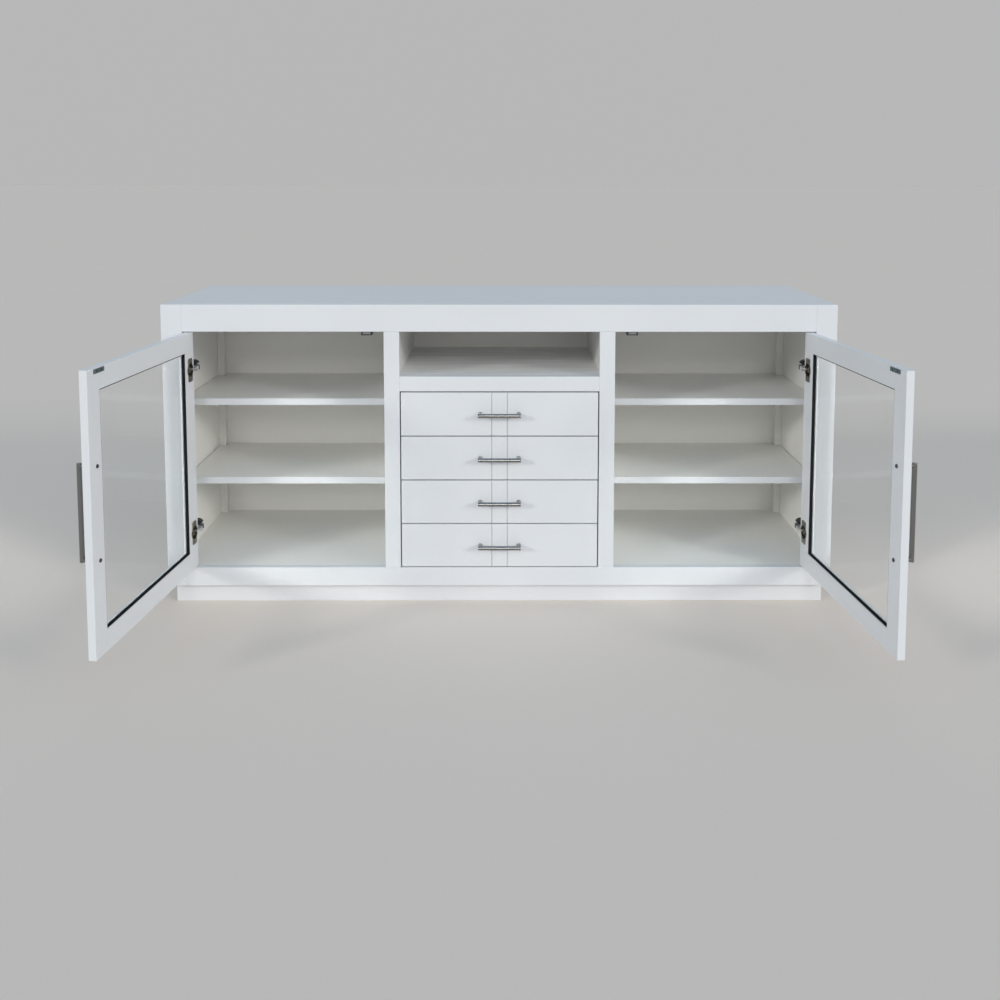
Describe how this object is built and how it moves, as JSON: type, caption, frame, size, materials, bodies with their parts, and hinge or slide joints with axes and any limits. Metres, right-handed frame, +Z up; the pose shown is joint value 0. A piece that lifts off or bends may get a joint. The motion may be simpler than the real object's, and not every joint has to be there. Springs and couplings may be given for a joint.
{
  "type": "tv stand",
  "caption": "Wide low media cabinet with inset glass doors over shelved bays, a centre stack of drawers under an open niche, and a recessed plinth.",
  "frame": {"origin": "on the floor, under the centre of the cabinet's own footprint, doors left out", "axes": "+X to the right along the width, +Y from the front to the back, +Z up"},
  "size_m": [1.8094, 0.9657, 0.812],
  "materials": {
    "paint": "satin white painted wood",
    "paint_inside": "matt white painted wood",
    "wash_wood": "thin white wash over open grain",
    "raw_wood": "clear sealed plywood",
    "brushed_nickel": "brushed nickel",
    "hinge_nickel": "nickel plated",
    "zinc_steel": "zinc plated",
    "black_metal": "black coated",
    "black_rubber": "matt black",
    "clear_glass": "clear float glass"
  },
  "bodies": {
    "cabinet": {"top_panel": "paint", "top_rail": "paint", "base_rail": "paint", "front_posts": "paint", "hinge_blocks": "paint_inside", "left_side_panel": "paint", "right_side_panel": "paint", "bottom_panel": "paint_inside", "back_panel": "paint_inside", "back_corner_strips": "paint_inside", "left_partition": "paint_inside", "right_partition": "paint_inside", "partition_stiles": "paint", "niche_shelf": "wash_wood", "niche_rail": "paint", "plinth": "paint", "left_upper_shelf": "paint", "left_lower_shelf": "paint", "right_upper_shelf": "paint", "right_lower_shelf": "paint", "shelf_pins": "zinc_steel", "magnetic_catches": "black_metal", "hinge_arms": "zinc_steel", "drawer_rails": "zinc_steel"},
    "left_door": {"left_door_hinge_stile": "paint", "left_door_free_stile": "paint", "left_door_rails": "paint", "left_door_glass": "clear_glass", "left_door_gasket": "black_rubber", "left_door_pull": "brushed_nickel", "left_door_pull_screws": "black_metal", "left_door_hinge_cups": "hinge_nickel", "left_door_strike_plate": "black_metal"},
    "right_door": {"right_door_hinge_stile": "paint", "right_door_free_stile": "paint", "right_door_rails": "paint", "right_door_glass": "clear_glass", "right_door_gasket": "black_rubber", "right_door_pull": "brushed_nickel", "right_door_pull_screws": "black_metal", "right_door_hinge_cups": "hinge_nickel", "right_door_strike_plate": "black_metal"},
    "left_hinge_links": {"left_hinge_links": "zinc_steel"},
    "right_hinge_links": {"right_hinge_links": "zinc_steel"},
    "drawer_1": {"drawer_1_front": "paint", "drawer_1_box": "raw_wood", "drawer_1_slides": "zinc_steel", "drawer_1_pull": "brushed_nickel"},
    "drawer_2": {"drawer_2_front": "paint", "drawer_2_box": "raw_wood", "drawer_2_slides": "zinc_steel", "drawer_2_pull": "brushed_nickel"},
    "drawer_3": {"drawer_3_front": "paint", "drawer_3_box": "raw_wood", "drawer_3_slides": "zinc_steel", "drawer_3_pull": "brushed_nickel"},
    "drawer_4": {"drawer_4_front": "paint", "drawer_4_box": "raw_wood", "drawer_4_slides": "zinc_steel", "drawer_4_pull": "brushed_nickel"}
  },
  "joints": [
    {"name": "left_door_hinge", "type": "hinge", "parent": "cabinet", "child": "left_door", "pos_m": [-0.8226, -0.2234, 0.4215], "axis": [0, 0, 1], "range_deg": [-6.2, 95.8]},
    {"name": "right_door_hinge", "type": "hinge", "parent": "cabinet", "child": "right_door", "pos_m": [0.8226, -0.2234, 0.4215], "axis": [0, 0, 1], "range_deg": [-95.8, 6.2]},
    {"name": "left_link_pivot", "type": "hinge", "parent": "cabinet", "child": "left_hinge_links", "pos_m": [-0.8017, -0.207, 0.4215], "axis": [0, 0, 1], "range_deg": [-27, 3]},
    {"name": "right_link_pivot", "type": "hinge", "parent": "cabinet", "child": "right_hinge_links", "pos_m": [0.8017, -0.207, 0.4215], "axis": [0, 0, 1], "range_deg": [-3, 27]},
    {"name": "drawer_1_slide", "type": "slide", "parent": "cabinet", "child": "drawer_1", "axis": [0, -1, 0], "range_m": [0, 0.3]},
    {"name": "drawer_2_slide", "type": "slide", "parent": "cabinet", "child": "drawer_2", "axis": [0, -1, 0], "range_m": [0, 0.3]},
    {"name": "drawer_3_slide", "type": "slide", "parent": "cabinet", "child": "drawer_3", "axis": [0, -1, 0], "range_m": [0, 0.3]},
    {"name": "drawer_4_slide", "type": "slide", "parent": "cabinet", "child": "drawer_4", "axis": [0, -1, 0], "range_m": [0, 0.3]}
  ],
  "couplings": [
    {"joint": "left_link_pivot", "follows": "left_door_hinge", "ratio": -0.27662},
    {"joint": "right_link_pivot", "follows": "right_door_hinge", "ratio": -0.27662}
  ]
}
